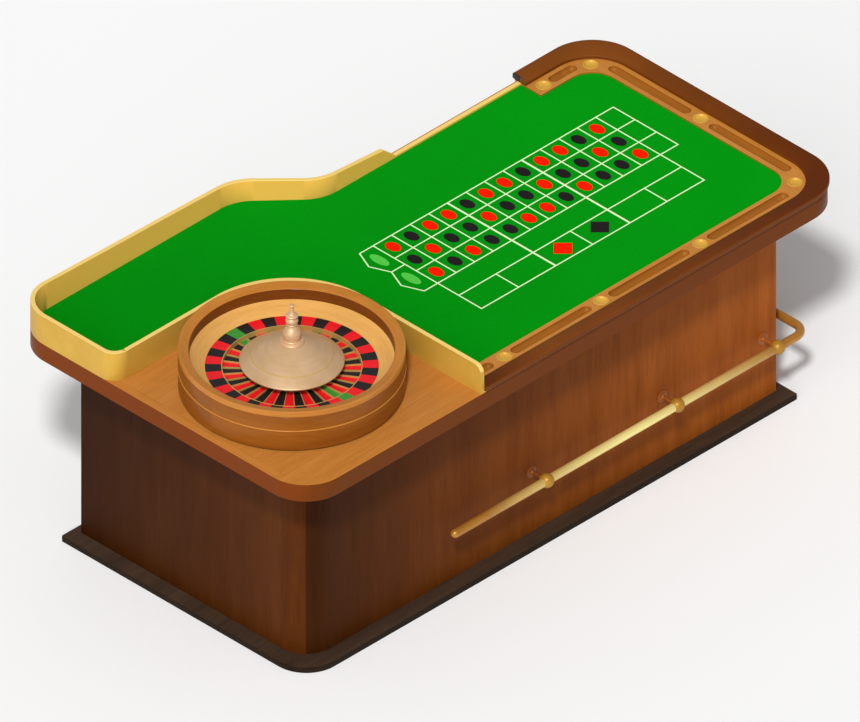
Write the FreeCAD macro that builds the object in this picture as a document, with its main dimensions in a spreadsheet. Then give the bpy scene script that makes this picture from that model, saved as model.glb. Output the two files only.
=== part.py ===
import FreeCAD
import Part

import math
import os

import Sketcher
from FreeCAD import Placement, Rotation, Vector

# Casino roulette table, in millimetres. +Z is up, +X runs from the wheel end to the far end of the
# layout and +Y from the players' side to the dealer's side. The origin is on the floor, under the
# middle of the table's outline.

DIMENSIONS = {
    # Table top
    "wheel_end_x": (1370, "wheel end of the top, left of the origin"),
    "far_end_x": (1357.5, "far end of the top"),
    "player_side_y": (736, "players' edge of the top, in front of the origin"),
    "dealer_side_y": (748.5, "dealer's edge of the top at the wheel end"),
    "narrow_side_y": (546, "dealer's edge of the top beside the layout"),
    "top_corner_radius": (162, "outline corners of the top"),
    "top_thickness": (73, "height of the top's edge"),
    "playing_height": (928, "top of the boards above the floor"),
    "bend_start_x": (-249, "where the dealer's edge turns inwards"),
    "bend_end_x": (-30.5, "where the dealer's edge is parallel again"),
    "bend_radius": (155, "radius of both turns of the dealer's edge"),
    "apron_width": (38, "solid wood edging of the top"),
    "core_thickness": (45, "structural board inside the apron"),
    "felt_thickness": (2, "woollen layout cloth"),
    # Cabinet
    "plinth_height": (26, "board under the cabinet"),
    "plinth_reach": (64, "plinth beyond the cabinet on the players' side"),
    "plinth_reach_end": (61, "plinth beyond the cabinet at the wheel end"),
    "plinth_reach_far": (40, "plinth beyond the cabinet at the far end"),
    "plinth_reach_rear": (35, "plinth beyond the cabinet on the dealer's side"),
    "plinth_corner_extra": (18, "the plinth's corner radius beyond the cabinet's"),
    "cabinet_wheel_x": (1194.5, "wheel end of the cabinet, left of the origin"),
    "cabinet_far_x": (1178, "far end of the cabinet"),
    "cabinet_player_y": (560.5, "players' side of the cabinet, in front of the origin"),
    "cabinet_rear_y": (573.5, "rear of the cabinet behind the wheel"),
    "cabinet_narrow_y": (371, "rear of the cabinet behind the layout"),
    "cabinet_step_x": (-300, "where the rear of the cabinet steps in"),
    "cabinet_corner_radius": (122, "curved corner panel"),
    "panel_thickness": (20, "cabinet panels"),
    # Access door
    "door_x": (150, "hinge side of the doorway"),
    "door_width": (600, "doorway"),
    "door_height": (600, "doorway"),
    "door_bottom": (126, "doorway above the floor"),
    "door_gap": (1.5, "gap round the door"),
    "door_thickness": (18, "door board"),
    "hinge_pin_radius": (2.5, "door hinge pins"),
    "hinge_fit": (0.05, "radial clearance of the hinge pins"),
    "hinge_height": (60, "length of a hinge"),
    # Fence
    "fence_thickness": (17, "brass fence"),
    "fence_height": (120.5, "fence round the wheel deck"),
    "fence_deck_y": (228.5, "deck face of the fence along the table"),
    "fence_deck_x": (486.7, "deck face of the fence across the table, left of the origin"),
    "fence_small_radius": (65, "fence corner at the wheel end"),
    "fence_large_radius": (371, "fence corner towards the layout"),
    "fence_nose_radius": (35, "rounded top of the fence's free end"),
    "fence_narrow_y": (514.4, "felt face of the dealer's fence beside the layout"),
    "fence_turn_x": (-266, "first turn of the dealer's fence"),
    "fence_return_x": (-31.7, "second turn of the dealer's fence"),
    "fence_turn_radius": (179, "both turns of the dealer's fence"),
    "fence_ramp_x": (333, "foot of the dealer's fence"),
    "low_rail_height": (11, "low rail beside the layout"),
    # Chip rail and armrest
    "rail_rise": (7.4, "chip rail above the boards"),
    "rail_felt_y": (598, "felt edge of the players' chip rail, in front of the origin"),
    "rail_felt_x": (1226, "felt edge of the far chip rail"),
    "rail_dealer_y": (413.6, "felt edge of the dealer's chip rail"),
    "rail_felt_radius": (100, "felt corners"),
    "rail_end_x": (966, "end of the chip rail on the dealer's side"),
    "groove_radius": (20, "chip grooves"),
    "cup_radius": (29, "flange of a cup"),
    "cup_body_radius": (25, "outside of a cup's body"),
    "cup_depth": (8, "cup below its flange"),
    "cup_wall": (1.5, "cup wall"),
    "pad_width": (67, "armrest"),
    "pad_height": (26, "armrest above the chip rail"),
    "pad_overhang": (12.5, "armrest beyond the top"),
    "pad_inner_radius": (166, "armrest corners, inside"),
    "pad_outer_radius": (188, "armrest corners, outside"),
    # Foot rail
    "tube_radius": (16.5, "foot rail"),
    "tube_wall": (1.5, "foot rail wall"),
    "tube_height": (289, "foot rail above the floor"),
    "tube_standoff": (77, "foot rail's axis from the cabinet"),
    "tube_start_x": (-520, "free end of the foot rail"),
    "tube_bend": (55, "bend of the foot rail"),
    "tube_far_y": (250, "foot rail's end at the far end of the table"),
    "ball_radius": (27.5, "bracket ball on the foot rail"),
    # Wheel
    "wheel_x": (-926, "wheel axis"),
    "wheel_y": (-221.8, "wheel axis"),
    "bowl_radius": (406.5, "outside of the bowl"),
    "bowl_height": (175, "bowl above the deck"),
    "bowl_foot": (5, "levelling feet"),
    "rim_width": (38, "rim ring"),
    "rim_depth": (25, "rim ring's outer height"),
    "rim_fall": (10, "rim ring's inward slope"),
    "track_top": (120, "outer edge of the ball track above the deck"),
    "track_bottom": (89, "inner edge of the ball track above the deck"),
    "track_radius": (310, "inner edge of the ball track"),
    "bowl_floor": (20, "top of the bowl's base board"),
    "rotor_radius": (309, "rotor"),
    "rotor_base": (56, "underside of the rotor plate"),
    "rotor_floor": (66, "top of the rotor plate"),
    "number_base": (80, "underside of the number ring"),
    "number_inner": (252, "inner edge of the number ring"),
    "pocket_outer": (249, "outer edge of the pockets"),
    "pocket_inner": (132, "inner edge of the pockets, under the edge of the cone"),
    "pocket_floor": (70, "top of the pocket floors"),
    "fret_top": (77, "top of the frets"),
    "fret_thickness": (2, "frets"),
    "cone_radius": (189, "outside of the cone"),
    "cone_edge": (118, "outer edge of the cone above the deck"),
    "cone_lip": (6, "thickness of the cone's overhanging edge"),
    "cone_neck": (86, "underside of the overhang at the pockets' inner edge"),
    "cone_step_radius": (148, "gold line on the cone"),
    "cone_step": (143, "gold line on the cone above the deck"),
    "cone_top": (195, "foot of the turret above the deck"),
    "turret_radius": (46, "collar of the turret"),
    "turret_top": (345, "foot of the finial above the deck"),
    "wheel_top": (357, "top of the finial above the deck"),
    "spindle_radius": (10, "spindle"),
    "spindle_fit": (0.03, "radial clearance of the spindle bearings"),
    "bearing_radius": (20, "outside of the bearings"),
}

POCKETS = 38
CUP_CENTRES = [(-268, -636), (220, -634), (719, -636), (1227, -606), (1268, -90), (1226, 423),
               (1016, 451)]
# Chip grooves along X: (first end, last end, y). The first one starts under the fence.
GROOVES_X = [(-560, -329, -635), (-230, 165, -635), (264, 659, -635), (762, 1157, -635),
             (1051, 1180, 454)]
# Chip grooves along Y: (first end, last end, x).
GROOVES_Y = [(-542, -141, 1265), (-37, 365, 1265)]
BRACKET_X = [-56.6, 602, 1108.6]
BRACKET_Y = [-250, 150]
# Top edge of the dealer's fence: (x, height above the boards).
FENCE_TOP = [(-1125, 112), (-318, 92), (0, 83), (272, 63)]

doc = FreeCAD.newDocument("roulette_table")
sheet = doc.addObject("Spreadsheet::Sheet", "Sizes")
for row, (name, (number, note)) in enumerate(DIMENSIONS.items(), start=1):
    sheet.set(f"A{row}", name)
    sheet.set(f"B{row}", str(number))
    sheet.set(f"C{row}", note)
    sheet.setAlias(f"B{row}", name)
doc.recompute()


class Size:
    """A length that knows its value and the spreadsheet expression behind it."""

    def __init__(self, value, text):
        self.value, self.text = float(value), text

    def __add__(self, other):
        other = size(other)
        return Size(self.value + other.value, f"{self.text} + {other.text}")

    def __sub__(self, other):
        other = size(other)
        return Size(self.value - other.value, f"{self.text} - ({other.text})")

    def __mul__(self, other):
        other = size(other)
        return Size(self.value * other.value, f"({self.text}) * ({other.text})")

    def __neg__(self):
        return Size(-self.value, f"-({self.text})")

    def __radd__(self, other):
        return size(other) + self

    def __rsub__(self, other):
        return size(other) - self


def size(value):
    return value if isinstance(value, Size) else Size(value, f"({value})")


class Sizes:
    """Reads a spreadsheet alias as a Size: D.playing_height."""

    def __getattr__(self, name):
        return Size(DIMENSIONS[name][0], f"Sizes.{name}")


D = Sizes()
NODES = []


def keep(thing, label):
    """Names a finished sub-part and lists it for export."""
    thing.Label = label
    NODES.append(thing)
    return thing


def bind(thing, **sizes):
    for name, value in sizes.items():
        value = size(value)
        setattr(thing, name, value.value)
        thing.setExpression(name, value.text)


def place(thing, x=0, y=0, z=0, rotation=None):
    x, y, z = size(x), size(y), size(z)
    thing.Placement = Placement(Vector(x.value, y.value, z.value), rotation or Rotation())
    for axis, value in (("x", x), ("y", y), ("z", z)):
        thing.setExpression(f"Placement.Base.{axis}", value.text)
    return thing


# Primitives and booleans -------------------------------------------------------------------------

def box(x, y, z, length, width, height):
    part = doc.addObject("Part::Box", "Box")
    bind(part, Length=length, Width=width, Height=height)
    return place(part, x, y, z)


def cylinder(x, y, z, radius, height, rotation=None, angle=None):
    part = doc.addObject("Part::Cylinder", "Cylinder")
    bind(part, Radius=radius, Height=height)
    if angle is not None:
        bind(part, Angle=angle)
    return place(part, x, y, z, rotation)


def sphere(x, y, z, radius):
    part = doc.addObject("Part::Sphere", "Sphere")
    bind(part, Radius=radius)
    return place(part, x, y, z)


def fuse(parts):
    joined = doc.addObject("Part::MultiFuse", "Fuse")
    joined.Shapes = parts
    return joined


def cut(base, tool):
    result = doc.addObject("Part::Cut", "Cut")
    result.Base, result.Tool = base, tool
    return result


def group(parts):
    result = doc.addObject("Part::Compound", "Group")
    result.Links = parts
    return result


TO_X = Rotation(Vector(0, 1, 0), 90)
TO_Y = Rotation(Vector(1, 0, 0), -90)
TO_BACK_Y = Rotation(Vector(1, 0, 0), 90)


# Sketched bodies ---------------------------------------------------------------------------------

def new_body(name):
    return doc.addObject("PartDesign::Body", name)


def new_sketch(body, plane):
    sketch = body.newObject("Sketcher::SketchObject", f"{body.Name}_sketch")
    origin_plane = next(f for f in body.Origin.OriginFeatures if f.Role == plane)
    sketch.AttachmentSupport = [(origin_plane, "")]
    sketch.MapMode = "FlatFace"
    return sketch


def bind_point(sketch, geometry, point, x, y):
    """Holds a sketch point at x, y from the sketch's origin."""
    for kind, value in (("DistanceX", size(x)), ("DistanceY", size(y))):
        number = sketch.addConstraint(
            Sketcher.Constraint(kind, -1, 1, geometry, point, value.value))
        sketch.setExpression(f"Constraints[{number}]", value.text)


def tangent_points(before, corner, after, radius):
    """Where a rounded corner's arc leaves both sides, its centre, and whether it turns left."""
    into, away = (corner - before).normalize(), (after - corner).normalize()
    turn = math.atan2(into.cross(away).z, into.dot(away))
    reach = radius * math.tan(abs(turn) / 2)
    start, end = corner - into * reach, corner + away * reach
    side = 1 if turn > 0 else -1
    centre = start + Vector(-into.y, into.x, 0) * radius * side
    return start, end, centre, turn > 0


def draw_outline(sketch, points):
    """A closed outline; each point is (x, y), or (x, y, radius) for a rounded corner."""
    count = len(points)
    corners = [Vector(size(p[0]).value, size(p[1]).value, 0) for p in points]
    arcs = [None] * count
    starts, ends = list(corners), list(corners)
    for i, point in enumerate(points):
        if len(point) == 3:
            before, after = corners[i - 1], corners[(i + 1) % count]
            arcs[i] = tangent_points(before, corners[i], after, size(point[2]).value)
            ends[i], starts[i] = arcs[i][0], arcs[i][1]

    lines = [sketch.addGeometry(Part.LineSegment(starts[i], ends[(i + 1) % count]), False)
             for i in range(count)]
    for i, point in enumerate(points):
        if arcs[i]:
            round_corner(sketch, lines[i - 1], lines[i], arcs[i], point)
        else:
            sketch.addConstraint(Sketcher.Constraint("Coincident", lines[i - 1], 2, lines[i], 1))
            bind_point(sketch, lines[i], 1, *point)


def round_corner(sketch, line_in, line_out, arc, point):
    """Joins two lines by a tangent arc, and holds their meeting point and the arc's radius."""
    start, end, centre, left = arc
    x, y, radius = (size(value) for value in point)
    first, last = (start, end) if left else (end, start)
    circle = Part.Circle(centre, Vector(0, 0, 1), radius.value)
    angles = [math.atan2(p.y - centre.y, p.x - centre.x) for p in (first, last)]
    index = sketch.addGeometry(Part.ArcOfCircle(circle, *angles), False)
    begin, finish = (1, 2) if left else (2, 1)
    sketch.addConstraint(Sketcher.Constraint("Tangent", line_in, 2, index, begin))
    sketch.addConstraint(Sketcher.Constraint("Tangent", index, finish, line_out, 1))
    number = sketch.addConstraint(Sketcher.Constraint("Radius", index, radius.value))
    sketch.setExpression(f"Constraints[{number}]", radius.text)
    meeting = sketch.addGeometry(Part.Point(Vector(x.value, y.value, 0)), True)
    bind_point(sketch, meeting, 1, x, y)
    for line in (line_in, line_out):
        sketch.addConstraint(Sketcher.Constraint("PointOnObject", meeting, 1, line))


def draw_circle(sketch, x, y, radius):
    x, y, radius = size(x), size(y), size(radius)
    centre = Vector(x.value, y.value, 0)
    index = sketch.addGeometry(Part.Circle(centre, Vector(0, 0, 1), radius.value), False)
    number = sketch.addConstraint(Sketcher.Constraint("Radius", index, radius.value))
    sketch.setExpression(f"Constraints[{number}]", radius.text)
    bind_point(sketch, index, 3, x, y)


def prism(name, points, bottom, height):
    """A board with the given outline."""
    body = new_body(name)
    sketch = new_sketch(body, "XY_Plane")
    draw_outline(sketch, points)
    pad = body.newObject("PartDesign::Pad", f"{name}_pad")
    pad.Profile = sketch
    bind(pad, Length=height)
    body.Tip = pad
    return place(body, 0, 0, bottom)


def turned(name, outline, x, y, z, rotation=None):
    """A solid of revolution about its own Z axis; outline lists (radius, height)."""
    body = new_body(name)
    sketch = new_sketch(body, "XZ_Plane")
    draw_outline(sketch, outline)
    revolution = body.newObject("PartDesign::Revolution", f"{name}_turn")
    revolution.Profile = sketch
    revolution.ReferenceAxis = (sketch, ["V_Axis"])
    revolution.Angle = 360
    body.Tip = revolution
    return place(body, x, y, z, rotation)


def ring(inner, outer, bottom, top):
    return [(inner, bottom), (outer, bottom), (outer, top), (inner, top)]


# Cabinet -----------------------------------------------------------------------------------------

def stepped_outline(wheel_x, far_x, player_y, rear_y, narrow_y, step_x):
    return [(-wheel_x, -player_y), (far_x, -player_y), (far_x, narrow_y), (step_x, narrow_y),
            (step_x, rear_y), (-wheel_x, rear_y)]


def make_plinth():
    outline = stepped_outline(
        D.cabinet_wheel_x + D.plinth_reach_end, D.cabinet_far_x + D.plinth_reach_far,
        D.cabinet_player_y + D.plinth_reach, D.cabinet_rear_y + D.plinth_reach_rear,
        D.cabinet_narrow_y + D.plinth_reach_rear, D.cabinet_step_x + D.plinth_reach_rear)
    outline[0] += (D.cabinet_corner_radius + D.plinth_corner_extra,)
    keep(prism("plinth", outline, 0, D.plinth_height), "plinth_board")


def make_cabinet():
    bottom = D.plinth_height
    height = D.playing_height - D.top_thickness - D.plinth_height
    thick = D.panel_thickness
    wheel_x, far_x = -D.cabinet_wheel_x, D.cabinet_far_x
    player_y, rear_y, narrow_y = -D.cabinet_player_y, D.cabinet_rear_y, D.cabinet_narrow_y
    radius, step_x = D.cabinet_corner_radius, D.cabinet_step_x

    def panel(label, x, y, length, width):
        keep(box(x, y, bottom, length, width, height), label)

    panel("player_side_panel", wheel_x + radius, player_y, far_x - wheel_x - radius, thick)
    panel("wheel_end_panel", wheel_x, player_y + radius, thick, rear_y - player_y - radius)
    panel("far_end_panel", far_x - thick, player_y + thick, thick,
          narrow_y - player_y - thick)
    panel("rear_panel_wheel_end", wheel_x + thick, rear_y - thick, step_x - wheel_x - thick, thick)
    panel("rear_return_panel", step_x - thick, narrow_y - thick, thick, rear_y - narrow_y)
    panel("inner_bulkhead", step_x - thick, player_y + thick, thick,
          narrow_y - player_y - thick - thick)

    arc = radius - 0.5
    corner = [(wheel_x, player_y, arc), (wheel_x + radius, player_y),
              (wheel_x + radius, player_y + thick),
              (wheel_x + thick, player_y + thick, arc - thick),
              (wheel_x + thick, player_y + radius), (wheel_x, player_y + radius)]
    keep(prism("corner", corner, bottom, height), "corner_panel")

    blank = box(step_x, narrow_y - thick, bottom, far_x - thick - step_x, thick, height)
    doorway = box(D.door_x, narrow_y - thick - 1, D.door_bottom, D.door_width, thick + 2,
                  D.door_height)
    keep(cut(blank, doorway), "rear_panel_layout_end")


def make_door():
    gap, thick = D.door_gap, D.door_thickness
    narrow_y = D.cabinet_narrow_y
    door = box(D.door_x + gap, narrow_y - thick, D.door_bottom + gap, D.door_width - gap - gap,
               thick, D.door_height - gap - gap)
    keep(door, "access_door")

    # Two barrel hinges stand outside the rear panel; the door's strap has the middle knuckle.
    barrel, leaf, reach = 5, 2, 30
    axis_y = narrow_y + barrel + 0.5
    part, slack = D.hinge_height * (1 / 3), 0.3
    leaves, straps, pins = [], [], []
    for bottom in (D.door_bottom + 60, D.door_bottom + D.door_height - 120):
        bore = cylinder(D.door_x, axis_y, bottom - 1, D.hinge_pin_radius + D.hinge_fit,
                        D.hinge_height + 2)
        tops = [bottom, bottom + part + part]
        fixed = [box(D.door_x - reach - 6, narrow_y, bottom, reach, leaf, D.hinge_height)]
        for z in tops:
            fixed.append(box(D.door_x - 7, narrow_y, z, 7, leaf, part))
            fixed.append(cylinder(D.door_x, axis_y, z, barrel, part))
        leaves.append(cut(fuse(fixed), bore))

        middle, length = bottom + part + slack, part - slack - slack
        moving = [box(D.door_x + 6, narrow_y, bottom, reach, leaf, D.hinge_height),
                  box(D.door_x, narrow_y + 0.5, middle, 7, leaf - 0.5, length),
                  cylinder(D.door_x, axis_y, middle, barrel, length)]
        straps.append(cut(fuse(moving), bore))
        pins.append(cylinder(D.door_x, axis_y, bottom, D.hinge_pin_radius, D.hinge_height))
    keep(group(leaves), "door_hinge_leaves")
    keep(group(straps), "door_hinge_straps")
    keep(group(pins), "door_hinge_pins")

    knob_inset = 50
    knob_x = D.door_x + D.door_width - knob_inset
    knob_z = D.door_bottom + D.door_height * 0.5
    outline = [(0, 0), (11, 0), (11, 3), (6, 6), (6, 14), (14, 20), (14, 26), (10, 30), (0, 30)]
    knob = turned("knob", outline, knob_x, narrow_y, knob_z, TO_Y)
    keep(knob, "door_knob")
    catch = box(knob_x + 30, narrow_y - D.panel_thickness - 14, knob_z - 30, 50, 14, 60)
    keep(catch, "door_catch")


def make_cabinet_screws():
    """Countersunk screws from under the plinth into the panels."""
    inset = D.panel_thickness * 0.5
    wheel_x, far_x = -D.cabinet_wheel_x + inset, D.cabinet_far_x - inset
    player_y, narrow_y = -D.cabinet_player_y + inset, D.cabinet_narrow_y - inset
    places = [(x, player_y) for x in (-900, -300, 300, 900)]
    places += [(x, narrow_y) for x in (-150, 450, 1000)]
    places += [(x, D.cabinet_rear_y - inset) for x in (-1000, -500)]
    places += [(wheel_x, y) for y in (-250, 350)] + [(far_x, y) for y in (-300, 150)]
    screws = []
    for x, y in places:
        head_and_shank = [(0, 1), (5, 1), (2.2, 5), (2.2, 60), (0, 62)]
        screws.append(turned("cabinet_screw", head_and_shank, x, y, 0))
    keep(group(screws), "cabinet_screws")


# Table top ---------------------------------------------------------------------------------------

def slope_shift(start_x, end_x, high_y, low_y):
    """How far along X a bend moves for each millimetre that its outline is offset."""
    run, drop = end_x.value - start_x.value, high_y.value - low_y.value
    return (math.hypot(run, drop) - run) / drop


def top_outline(inset):
    """The top's outline, moved in by inset."""
    shift = inset * slope_shift(D.bend_start_x, D.bend_end_x, D.dealer_side_y, D.narrow_side_y)
    left, right = -D.wheel_end_x + inset, D.far_end_x - inset
    front, back = -D.player_side_y + inset, D.dealer_side_y - inset
    narrow, corner = D.narrow_side_y - inset, D.top_corner_radius - inset
    return [(left, front, corner), (right, front, corner), (right, narrow, corner),
            (D.bend_end_x - shift, narrow, D.bend_radius + inset),
            (D.bend_start_x - shift, back, D.bend_radius + D.apron_width - inset),
            (left, back, corner)]


def make_apron():
    bottom, height = D.playing_height - D.top_thickness, D.top_thickness
    outer, inner = top_outline(size(0)), top_outline(D.apron_width)
    low_y = -D.player_side_y + D.top_corner_radius + 1
    far_y = D.narrow_side_y - D.top_corner_radius - 1
    back_y = D.dealer_side_y - D.top_corner_radius - 1

    player = [(outer[0][0], low_y), outer[0], outer[1], (outer[1][0], low_y),
              (inner[1][0], low_y), inner[1], inner[0], (inner[0][0], low_y)]
    keep(prism("apron_player", player, bottom, height), "apron_player_side")
    dealer = [(outer[2][0], far_y), outer[2], outer[3], outer[4], outer[5],
              (outer[5][0], back_y), (inner[5][0], back_y), inner[5], inner[4], inner[3],
              inner[2], (inner[2][0], far_y)]
    keep(prism("apron_dealer", dealer, bottom, height), "apron_dealer_side")

    width = D.apron_width
    keep(box(inner[1][0], low_y, bottom, width, far_y - low_y, height), "apron_far_end")
    keep(box(outer[0][0], low_y, bottom, width, back_y - low_y, height), "apron_wheel_end")


def make_boards():
    bottom = D.playing_height - D.top_thickness
    inner = top_outline(D.apron_width)
    keep(prism("core", inner, bottom, D.core_thickness), "top_board")

    # The deck and the playing board meet under the middle of the fence.
    board_bottom = bottom + D.core_thickness
    board_height = D.top_thickness - D.core_thickness
    half = D.fence_thickness * 0.5
    left, front = inner[0][:2]
    meet_x, meet_y = -D.fence_deck_x + half, D.fence_deck_y + half
    meet = (meet_x, meet_y, D.fence_large_radius - half)
    deck = [inner[0], (meet_x, front), meet, (left, meet_y)]
    keep(prism("deck", deck, board_bottom, board_height), "wheel_deck_board")

    rail_x, rail_y, rail_back_y = D.rail_felt_x, -D.rail_felt_y, D.rail_dealer_y
    rail_edge = [(rail_x, rail_y, D.rail_felt_radius), (rail_x, rail_back_y, D.rail_felt_radius),
                 (D.rail_end_x, rail_back_y)]
    playing = [(meet_x, rail_y)] + rail_edge
    playing += [(D.rail_end_x, inner[3][1]), inner[3], inner[4], inner[5], (left, meet_y), meet]
    keep(prism("playing", playing, board_bottom, board_height), "playing_board")

    # The cloth runs on over the apron to the faces of the fence.
    thick, turn = D.fence_thickness, D.fence_turn_radius
    felt_x, felt_y = -D.fence_deck_x + thick, D.fence_deck_y + thick
    end_x, back_y = -D.wheel_end_x + thick, D.dealer_side_y - thick
    felt = [(felt_x, rail_y)] + rail_edge
    felt += [(D.rail_end_x, D.fence_narrow_y), (D.fence_return_x, D.fence_narrow_y, turn),
             (D.fence_turn_x, back_y, turn), (end_x, back_y, D.top_corner_radius - thick),
             (end_x, felt_y, D.fence_small_radius - thick),
             (felt_x, felt_y, D.fence_large_radius)]
    keep(prism("felt", felt, D.playing_height, D.felt_thickness), "felt_cloth")


# Fence -------------------------------------------------------------------------------------------

def make_fence():
    bottom, height, thick = D.playing_height, D.fence_height, D.fence_thickness
    left, back_y = -D.wheel_end_x, D.dealer_side_y
    deck_x, deck_y = -D.fence_deck_x, D.fence_deck_y
    small, large = D.fence_small_radius, D.fence_large_radius
    arc_x = deck_x + thick - large - 1
    stub_x = left + 120
    back_arc_y = back_y - D.top_corner_radius - 1

    end_wall = [(left, deck_y, small), (stub_x, deck_y), (stub_x, deck_y + thick),
                (left + thick, deck_y + thick, small - thick), (left + thick, back_arc_y),
                (left, back_arc_y)]
    keep(prism("fence_end", end_wall, bottom, height), "fence_wheel_end")
    keep(box(stub_x, deck_y, bottom, arc_x - stub_x, thick, height), "fence_deck_side")

    corner = [(arc_x, deck_y), (deck_x, deck_y, large - thick), (deck_x, -D.player_side_y),
              (deck_x + thick, -D.player_side_y), (deck_x + thick, deck_y + thick, large),
              (arc_x, deck_y + thick)]
    body = prism("fence_corner", corner, bottom, height)
    round_nose(body)
    keep(body, "fence_deck_corner")

    turn_x, return_x, narrow_y = D.fence_turn_x, D.fence_return_x, D.fence_narrow_y
    split_x = turn_x - 154
    big = D.top_corner_radius
    side = [(left, back_arc_y), (left + thick, back_arc_y),
            (left + thick, back_y - thick, big - thick), (split_x, back_y - thick),
            (split_x, back_y), (left, back_y, big)]
    body = prism("fence_side", side, bottom, height)
    slope_top(body)
    keep(body, "fence_dealer_side")

    shift = thick * slope_shift(turn_x, return_x, back_y - thick, narrow_y)
    ramp_x, turn = D.fence_ramp_x, D.fence_turn_radius
    bend = [(split_x, back_y - thick), (turn_x, back_y - thick, turn),
            (return_x, narrow_y, turn), (ramp_x, narrow_y), (ramp_x, narrow_y + thick),
            (return_x + shift, narrow_y + thick, turn - thick), (turn_x + shift, back_y,
                                                                 turn + thick),
            (split_x, back_y)]
    body = prism("fence_bend", bend, bottom, height)
    slope_top(body)
    keep(body, "fence_dealer_bend")
    keep(box(ramp_x, narrow_y, bottom, D.rail_end_x - ramp_x, thick, D.low_rail_height),
         "fence_low_rail")


def cut_across(body, plane, outline):
    """Cuts an outline right through a body, square to one of its planes."""
    sketch = new_sketch(body, plane)
    draw_outline(sketch, outline)
    pocket = body.newObject("PartDesign::Pocket", f"{body.Name}_cut")
    pocket.Profile = sketch
    pocket.Type = "ThroughAll"
    pocket.Midplane = True
    body.Tip = pocket


def round_nose(body):
    """Rounds the top of the fence's free end, at the players' edge."""
    end_y, top, radius = -D.player_side_y, D.fence_height, D.fence_nose_radius
    spare = 5
    cut_across(body, "YZ_Plane", [
        (end_y - spare, top - radius - spare), (end_y, top - radius - spare), (end_y, top, radius),
        (end_y + radius + spare, top), (end_y + radius + spare, top + spare),
        (end_y - spare, top + spare)])


def slope_top(body):
    """Cuts the dealer's fence down along its sloping top edge."""
    start_x, end_x, high = -D.wheel_end_x - 5, D.fence_ramp_x + 5, D.fence_height + 5
    line = [(start_x, D.fence_height)] + FENCE_TOP + [(D.fence_ramp_x, D.low_rail_height)]
    cut_across(body, "XZ_Plane",
               line + [(end_x, D.low_rail_height), (end_x, high), (start_x, high)])


# Chip rail and armrest ---------------------------------------------------------------------------

def groove_tools(along_x, along_y):
    """Round-ended troughs, each as deep as half a chip."""
    radius, level = D.groove_radius, D.playing_height + D.rail_rise
    tools = []
    for first, last, y in along_x:
        first, last = first + radius, last - radius
        tools.append(cylinder(first, y, level, radius, last - first, TO_X))
        tools += [sphere(first, y, level, radius), sphere(last, y, level, radius)]
    for first, last, x in along_y:
        first, last = first + radius, last - radius
        tools.append(cylinder(x, first, level, radius, last - first, TO_Y))
        tools += [sphere(x, first, level, radius), sphere(x, last, level, radius)]
    return tools


def make_chip_rail():
    bottom = D.playing_height - D.top_thickness + D.core_thickness
    height = D.top_thickness - D.core_thickness + D.rail_rise
    cup_seat = bottom + height - D.cup_depth
    start_x = -D.fence_deck_x + D.fence_thickness
    inner = top_outline(D.apron_width)
    front_y, right_x, back_y = inner[0][1], inner[1][0], inner[2][1]
    felt_y, felt_x, dealer_y = -D.rail_felt_y, D.rail_felt_x, D.rail_dealer_y
    corner_x = felt_x - D.rail_felt_radius - 1

    def drilled(label, blank, centres, along_x, along_y=()):
        tools = [cylinder(x, y, cup_seat, D.cup_body_radius, D.cup_depth + 2) for x, y in centres]
        tools += groove_tools(along_x, along_y)
        keep(cut(blank, fuse(tools)), label)

    blank = box(start_x, front_y, bottom, corner_x - start_x, felt_y - front_y, height)
    drilled("chip_rail_player_side", blank, CUP_CENTRES[:3], GROOVES_X[:4])

    small, felt_arc = D.top_corner_radius - D.apron_width, D.rail_felt_radius
    far = [(corner_x, front_y), (right_x, front_y, small), (right_x, back_y, small),
           (corner_x, back_y), (corner_x, dealer_y), (felt_x, dealer_y, felt_arc),
           (felt_x, felt_y, felt_arc), (corner_x, felt_y)]
    blank = prism("rail_far", far, bottom, height)
    drilled("chip_rail_far_end", blank, CUP_CENTRES[3:6], GROOVES_X[3:], GROOVES_Y)

    blank = box(D.rail_end_x, dealer_y, bottom, corner_x - D.rail_end_x, back_y - dealer_y, height)
    drilled("chip_rail_dealer_side", blank, CUP_CENTRES[6:], GROOVES_X[4:])


def make_cups():
    level = D.playing_height + D.rail_rise
    body, wall, depth = D.cup_body_radius, D.cup_wall, D.cup_depth
    outline = [(0, -depth), (body, -depth), (body, 0), (D.cup_radius, 0), (D.cup_radius, wall),
               (body - wall, wall), (body - wall, wall - depth), (0, wall - depth)]
    cups = [turned("cup", outline, x, y, level) for x, y in CUP_CENTRES]
    keep(group(cups), "rail_cups")


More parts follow.
